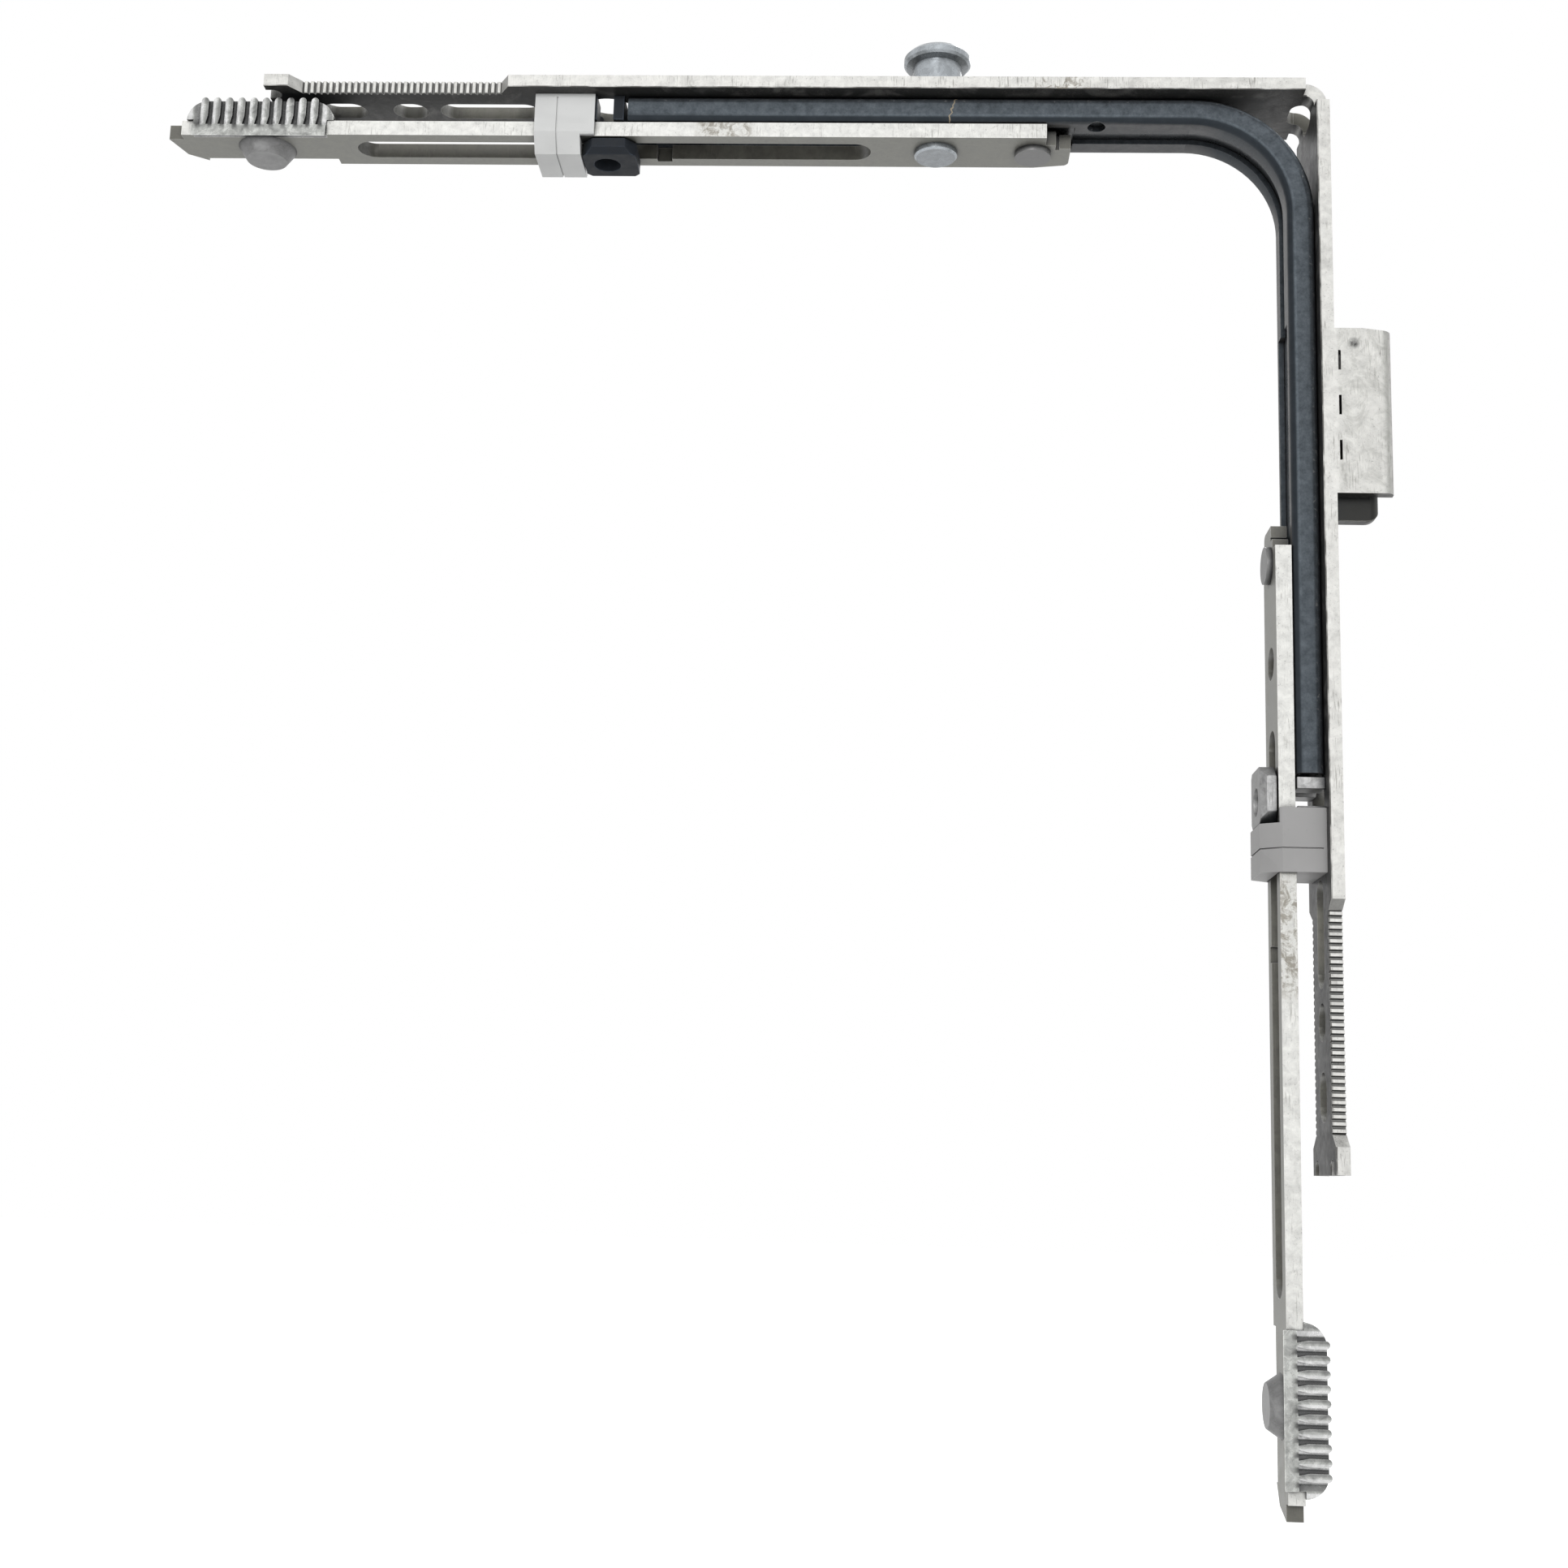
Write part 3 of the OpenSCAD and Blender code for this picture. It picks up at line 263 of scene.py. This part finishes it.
def faceplate_marks(nodes, where, colour, near_face, cloud):
    """Dark line along the near face's inner edge, the flange's stains, and painted shade on the
    flange's outer band where its rounded edge turns away from the light.
    """
    x, y, z = nodes.split(where)[:3]
    # A dark line along the inner edge of the near faces.
    on_top = nodes.math("MULTIPLY", band(nodes, z, -2.1, -1.86), band(nodes, x, -60.0, 109.5))
    on_side = nodes.math("MULTIPLY", band(nodes, x, 110.5, 110.76), band(nodes, z, -170.0, -3.0))
    edge_line = nodes.math("MULTIPLY", nodes.math("MAXIMUM", on_top, on_side), near_face)
    broken = nodes.remap(nodes.noise(where, 260.0, 3.0), 0.36, 0.56, 0.25, 0.9)
    colour = nodes.mix(nodes.math("MULTIPLY", edge_line, broken), colour, rgb(0.05, (1.0, 0.95, 0.85)))
    wear_and_sheen_patch = nodes.math("MULTIPLY", band(nodes, x, 68.5, 75.0, 2.0), near_face)
    rust = nodes.remap(nodes.noise(where, 800.0, 4.0, 0.7, 0.8), 0.52, 0.62, 0.0, 0.7)
    colour = nodes.mix(nodes.math("MULTIPLY", wear_and_sheen_patch, rust), colour, rgb(0.25, (1.0, 0.88, 0.7)))
    flange = nodes.math("MULTIPLY", band(nodes, x, 113.2, 130.0, 0.4), band(nodes, z, -75.0, -40.0))
    flange = nodes.math("MULTIPLY", flange, near_face)
    swirl = nodes.noise(where, 210.0, 6.0, 0.68, 2.2)
    stained = nodes.math("MULTIPLY", flange, nodes.remap(swirl, 0.48, 0.62, 0.1, 0.5))
    colour = nodes.mix(stained, colour, rgb(0.42, (1.0, 1.0, 0.93)))
    # Painted shade: the flange's outer band darkened where its rounded edge turns away from the light.
    rim_shade = nodes.math("MULTIPLY", flange, nodes.remap(x, 119.4 * MM, 121.0 * MM, 0.0, 0.85))
    colour = nodes.mix(rim_shade, colour, rgb(0.3, (0.97, 1.0, 0.92)))
    away = nodes.add("ShaderNodeVectorMath", {0: where, 1: SMUDGE_AT}, operation="DISTANCE")
    smudge = nodes.remap(away.outputs["Value"], 0.3 * MM, 1.1 * MM, 1.0, 0.0)
    smudge = nodes.math("MULTIPLY", smudge, nodes.remap(cloud, 0.4, 0.56, 0.2, 1.0))
    return nodes.mix(smudge, colour, rgb(0.06))


def rod_marks(nodes, where, colour, near_face, cloud):
    """Brown handling stains on the near edge beside the clips."""
    x, _, z = nodes.split(where)[:3]
    on_top = band(nodes, x, 15.5, 22.5, 1.5)
    on_side = nodes.math("MULTIPLY", band(nodes, z, -140.0, -126.0, 3.0), band(nodes, x, 100.0, 110.0))
    spots = nodes.remap(nodes.noise(where, 620.0, 5.0, 0.7, 0.6), 0.44, 0.58, 0.0, 0.8)
    stained = nodes.math("MULTIPLY", nodes.math("MAXIMUM", on_top, on_side), near_face)
    return nodes.mix(nodes.math("MULTIPLY", stained, spots), colour, rgb(0.2, (1.0, 0.86, 0.64)))


def block_light_and_shade(along_axis, middle_mm, deep_axis, rail_low_mm, rail_top_mm):
    """Painted shadow in scallops where the near rail meets the valleys, a painted highlight on one half
    of each rib and painted shade on the other half.
    """

    def marks(nodes, where, colour, near_face, cloud):
        axes = nodes.split(where)
        turns = 2 * math.pi / (RIB_PITCH_MM * MM)
        phase = nodes.math("MULTIPLY_ADD", axes[along_axis], turns, -turns * middle_mm * MM)
        valley = nodes.remap(nodes.math("COSINE", phase), -0.1, 0.8)
        height = nodes.remap(axes[deep_axis], rail_low_mm * MM, rail_top_mm * MM)
        valley_shadow = nodes.math("MULTIPLY", nodes.math("MULTIPLY", valley, height), near_face)
        on_rail = nodes.math("LESS_THAN", axes[deep_axis], (rail_top_mm + 0.1) * MM)
        valley_shadow = nodes.math("MULTIPLY", valley_shadow, on_rail)
        # Painted shadow: the near rail darkened below the rib valleys.
        colour = nodes.mix(nodes.math("MULTIPLY", valley_shadow, 0.9), colour, rgb(0.03))
        # Painted highlight on the lit half of each rib, broken into patches.
        lit = nodes.remap(nodes.math("SINE", phase), 0.15, 0.7)
        lit = nodes.math("MULTIPLY", lit, nodes.math("SUBTRACT", 1.0, on_rail))
        wear_and_sheen_patch = nodes.remap(cloud, 0.35, 0.6, 0.4, 0.9)
        # Painted shade on the other half of each rib.
        shaded = nodes.remap(nodes.math("SINE", phase), -0.15, -0.8, 0.0, 0.6)
        shaded = nodes.math("MULTIPLY", shaded, nodes.math("SUBTRACT", 1.0, on_rail))
        colour = nodes.mix(nodes.math("MULTIPLY", shaded, near_face), colour, rgb(0.14))
        return nodes.mix(nodes.math("MULTIPLY", nodes.math("MULTIPLY", lit, near_face), wear_and_sheen_patch),
                         colour, rgb(0.86))

    return marks


def block_zinc(name, marks):
    return zinc(name, 0.54, 0.26, 0.32, (0.98, 1, 0.96), rough=0.24, metallic=0.25, mottle=0.6,
                speck=0.3, lines=0.15, edge=1.0, gap=1.0, reach=1.8, dip=(0.98, 0.8),
                edge_tone=0.9, marks=marks)


def fibre(nodes, where, colour, near):
    """Tan fibre stuck across the guide beside the cam."""
    x, _, z = nodes.split(where)[:3]
    wave = nodes.remap(nodes.noise(where, 900.0, 1.0), 0.3, 0.7, -0.25 * MM, 0.25 * MM)
    along = nodes.math("ADD", nodes.math("MULTIPLY_ADD", z, -FIBRE_SLOPE, FIBRE_X), wave)
    offset = nodes.math("ABSOLUTE", nodes.math("ADD", x, along))
    strand = nodes.math("MULTIPLY", nodes.remap(offset, 0.07 * MM, 0.13 * MM, 1.0, 0.0),
                        nodes.remap(near, 0.0, 0.1))
    return nodes.mix(nodes.math("MULTIPLY", strand, 0.85), colour, rgb(0.42, (1.0, 0.82, 0.56)))


def dark_sheet(name):
    """Dark passivated sheet, lighter along its folds and near face, partly from rubbed wear and partly
    as a painted highlight where they face the light; painted shade in its gaps.
    """
    made, nodes, coords = material(name)
    where = coords.outputs["Object"]
    cloud = nodes.noise(where, 380.0, 5.0, 0.6, 0.5)
    grain = nodes.noise(where, 4200.0, 3.0, 0.7)
    dark = nodes.mix(nodes.remap(cloud, 0.3, 0.7), rgb(0.011, (0.85, 1, 1.25)),
                     rgb(0.024, (0.88, 1, 1.2)))
    side = nodes.split(coords.outputs["Normal"])
    near = nodes.math("MULTIPLY", side[1], -1.0)
    outward = nodes.math("MAXIMUM", side[0], side[2])
    inward = nodes.math("MAXIMUM", nodes.math("MULTIPLY", side[0], -1.0),
                        nodes.math("MULTIPLY", side[2], -1.0))
    lip = nodes.remap(inward, 0.93, 0.99)
    colour = nodes.mix(lip, dark, nodes.mix(nodes.remap(cloud, 0.3, 0.7), rgb(0.05, (1.06, 1, 0.98)),
                                            rgb(0.11, (1.05, 1, 0.99))))
    # Painted highlight, partly rubbed wear: folds turned outward and towards the near side, and the
    # near face, made lighter and broken into streaks.
    fold = nodes.math("MULTIPLY", nodes.remap(outward, 0.08, 0.45), nodes.remap(near, 0.3, 0.8))
    flat = nodes.math("MULTIPLY", nodes.remap(near, 0.9, 0.99), 0.5)
    wear_and_sheen_streaks = nodes.noise(nodes.stretched(where, (0, 0.1, 0), (700.0, 2400.0, 700.0)), 1.0, 5.0, 0.75)
    light = nodes.math("MAXIMUM", fold, flat)
    light = nodes.math("MULTIPLY", light, nodes.remap(wear_and_sheen_streaks, 0.3, 0.75, 0.2, 0.95))
    colour = nodes.mix(light, colour, rgb(0.34, (0.88, 1, 1.12)))
    nick = nodes.math("MULTIPLY", nodes.remap(nodes.noise(where, 1300.0, 3.0, 0.6), 0.6, 0.68), fold)
    colour = nodes.mix(nodes.math("MULTIPLY", nick, 0.8), colour, rgb(0.6))
    worn = nodes.math("MULTIPLY", edge_mask(nodes, 0.2), nodes.remap(wear_and_sheen_streaks, 0.45, 0.65, 0.05, 0.5))
    colour = nodes.mix(worn, colour, rgb(0.4, (1, 1, 0.98)))
    # Painted shade: colour darkened towards near black deep in gaps and corners.
    gap_shade = nodes.math("MULTIPLY", gap_shade_mask(nodes, 4.0), 0.85)
    colour = nodes.mix(gap_shade, colour, rgb(0.008))
    colour = fibre(nodes, where, colour, near)
    height = nodes.math("ADD", cloud, nodes.math("MULTIPLY", grain, 0.4))
    finish_material(nodes, colour, nodes.remap(grain, 0.3, 0.7, 0.36, 0.5), 0.0, height, 0.012,
                    Specular_IOR_Level=0.3, Specular_Tint=(0.72, 0.88, 1.0, 1.0))
    return made


def plastic(name, tone, tint=(1, 1, 1), rough=0.5, gap=0.7):
    """Moulded plastic with faint flow marks and dust, and painted shade in its gaps."""
    made, nodes, coords = material(name)
    where = coords.outputs["Object"]
    flow = nodes.noise(where, 90.0, 3.0, 0.5, 0.8)
    grain = nodes.noise(where, 7000.0, 2.0, 0.6)
    colour = nodes.mix(nodes.remap(flow, 0.3, 0.7), rgb(tone * 0.92, tint), rgb(tone * 1.05, tint))
    dust = nodes.remap(nodes.noise(where, 1900.0, 3.0, 0.6), 0.64, 0.76)
    colour = nodes.mix(nodes.math("MULTIPLY", dust, 0.3), colour, rgb(tone * 0.7))
    worn = nodes.math("MULTIPLY", edge_mask(nodes, 0.2), 0.25)
    colour = nodes.mix(worn, colour, rgb(min(tone * 1.3, 0.85), tint))
    # Painted shade: colour darkened deep in gaps and corners.
    gap_shade = nodes.math("MULTIPLY", gap_shade_mask(nodes, 1.2, 0.7, 0.3), gap)
    colour = nodes.mix(gap_shade, colour, rgb(tone * 0.1))
    height = nodes.math("ADD", nodes.math("MULTIPLY", flow, 0.5), grain)
    finish_material(nodes, colour, nodes.remap(grain, 0.3, 0.7, rough - 0.06, rough + 0.08),
                    0.0, height, 0.006, IOR=1.45)
    return made


def dress(names, made):
    for name in names:
        slots = NODES[name].material_slots
        if not slots:
            NODES[name].data.materials.append(made)
        for slot in slots:
            slot.material = made


def soften(names, width_mm, segments=2, angle=35.0):
    """Narrow bevels that catch the light along a piece's edges."""
    for name in names:
        weld = NODES[name].modifiers.new("weld", "WELD")
        weld.merge_threshold = 1e-6
        bevel = NODES[name].modifiers.new("bevel", "BEVEL")
        bevel.width = width_mm * MM
        bevel.segments = segments
        bevel.limit_method = "ANGLE"
        bevel.angle_limit = math.radians(angle)
        bevel.harden_normals = False
        bevel.use_clamp_overlap = True


def add_floor():
    half = FLOOR_SIZE / 2
    mesh = bpy.data.meshes.new("floor")
    corners = [(-half, -half, FLOOR_Z), (half, -half, FLOOR_Z),
               (half, half, FLOOR_Z), (-half, half, FLOOR_Z)]
    mesh.from_pydata(corners, [], [(0, 1, 2, 3)])
    floor = bpy.data.objects.new("floor", mesh)
    bpy.context.scene.collection.objects.link(floor)
    made, nodes, coords = material("floor_paper")
    path = nodes.add("ShaderNodeLightPath").outputs
    seen = nodes.math("MAXIMUM", path["Is Camera Ray"],
                      nodes.math("MAXIMUM", path["Is Glossy Ray"], path["Is Transmission Ray"]))
    grain = nodes.noise(coords.outputs["Object"], 900.0)
    paper = nodes.mix(grain, rgb(0.86), rgb(0.9))
    lit = nodes.add("ShaderNodeBsdfDiffuse", {"Color": paper})
    glow = nodes.add("ShaderNodeEmission", {"Color": rgb(1.0),
                                            "Strength": nodes.math("MULTIPLY", seen, 0.85)})
    both = nodes.add("ShaderNodeAddShader", {0: lit.outputs[0], 1: glow.outputs[0]})
    out = nodes.add("ShaderNodeOutputMaterial")
    nodes.tree.links.new(both.outputs[0], out.inputs[0])
    mesh.materials.append(made)


def add_world():
    world = bpy.data.worlds.new("studio")
    world.use_nodes = True
    bpy.context.scene.world = world
    nodes = Nodes(world.node_tree)
    path = nodes.add("ShaderNodeLightPath").outputs
    seen = nodes.math("MAXIMUM", path["Is Camera Ray"],
                      nodes.math("MAXIMUM", path["Is Glossy Ray"], path["Is Transmission Ray"]))
    strength = nodes.remap(seen, 0.0, 1.0, 0.36, 1.0)
    light = nodes.add("ShaderNodeBackground", {"Color": rgb(1.0), "Strength": strength})
    out = nodes.add("ShaderNodeOutputWorld")
    nodes.tree.links.new(light.outputs[0], out.inputs[0])


add_camera()
add_world()
add_floor()
bpy.context.scene.view_settings.view_transform = "Standard"
OBJECT_MIDDLE = (0.04, 0.0, -0.09)
add_area("key", (-0.1, -1.25, 0.2), OBJECT_MIDDLE, 0.55, 6.2)
add_area("back", (0.3, 0.9, 0.6), OBJECT_MIDDLE, 0.6, 2.5)

# The near, inner, other and wall tones in these calls are painted light and shade: light on near faces,
# dark on inner faces and slot walls.
dress(["faceplate"], zinc("faceplate_zinc", 0.86, 0.026, 0.72, (1, 0.995, 0.955), (1, 1, 0.95),
                          mottle=0.2, speck=0.7, lines=0.6, stain=0.3, gap=0.97, near_from=-3.5,
                          wall=0.25, gloss=0.3, dip=(0.95, 0.6),
                          marks=faceplate_marks))
dress(["corner_guide"], dark_sheet("guide_dark"))
dress(["guide_rivets", "catch_rivet"], zinc("rivet_steel", 0.5, 0.3))
dress(["top_strip_rivet", "side_strip_rivet"], zinc("strip_rivet_steel", 0.3, 0.22, lines=0.2,
                                                    gap=0.9, reach=1.6, dip=(0.92, 0.5)))
dress(["outer_spring_strip", "middle_spring_strip", "inner_spring_strip"],
      zinc("strip_steel", 0.12, 0.08, 0.1, (0.95, 1, 1.06), (0.95, 1, 1.06), rough=0.3,
           metallic=0.6))
dress(["top_drive_rod", "side_drive_rod"],
      zinc("rod_zinc", 0.88, 0.26, 0.3, (1, 1, 0.96), (1, 1, 0.9), mottle=0.24, speck=0.7,
           gap=0.95, reach=3.0, near_from=-3.5, wall=0.14, marks=rod_marks))
dress(["mushroom_cam"], zinc("cam_zinc", 0.5, 0.3, 0.5, (0.92, 0.99, 1.05), (0.92, 0.99, 1.05),
                             rough=0.26, metallic=0.4, mottle=0.3, lines=0.15, gap=0.95, reach=2.0))
dress(["top_coupling_block"], block_zinc("top_block_zinc", block_light_and_shade(0, -55.25, 2, -8.3, -7.4)))
dress(["side_coupling_block"], block_zinc("side_block_zinc", block_light_and_shade(2, -198.95, 0, 104.3, 105.2)))
dress(["top_block_rivet", "side_block_rivet"],
      zinc("block_rivet_zinc", 0.42, 0.3, 0.26, speck=0.8, lines=0.2, mottle=0.35, gap=0.98,
           reach=1.4, dip=(0.92, 0.5)))
# Painted light and shade: the two bosses are one part, toned dark on the top leg and bright on the side
# leg for the light falling on each.
dress(["top_screw_boss"], zinc("boss_dark", 0.02, 0.016, 0.02, (0.8, 1, 1.3), (0.8, 1, 1.3),
                               rough=0.6, metallic=0.0, speck=0.2, lines=0.2, edge=0.9,
                               edge_tone=0.2, gap=0.9, reach=1.5, gloss=0.22))
dress(["side_screw_boss"], zinc("boss_bright", 0.62, 0.3, 0.4, mottle=0.5, speck=0.8, gap=1.0,
                                reach=2.0, dip=(0.96, 0.6)))
# Painted light and shade: the two clips are one part, toned light on the top leg and grey on the side
# leg for the light falling on each.
dress(["top_clip"], plastic("clip_light", 0.8, (1, 1.01, 1.0), gap=0.3))
dress(["side_clip"], plastic("clip_grey", 0.42, (1.01, 1, 0.995)))
dress(["flange_catch"], zinc("catch_dark", 0.014, 0.012, 0.03, (1, 1, 0.85), (1, 1, 0.85), metallic=0.0,
                             speck=0.2, lines=0.2, edge=1.0, edge_tone=0.3, gap=0.85, reach=3.0,
                             gloss=0.3))

soften([n for n in NODES if n != "mushroom_cam"], 0.12)
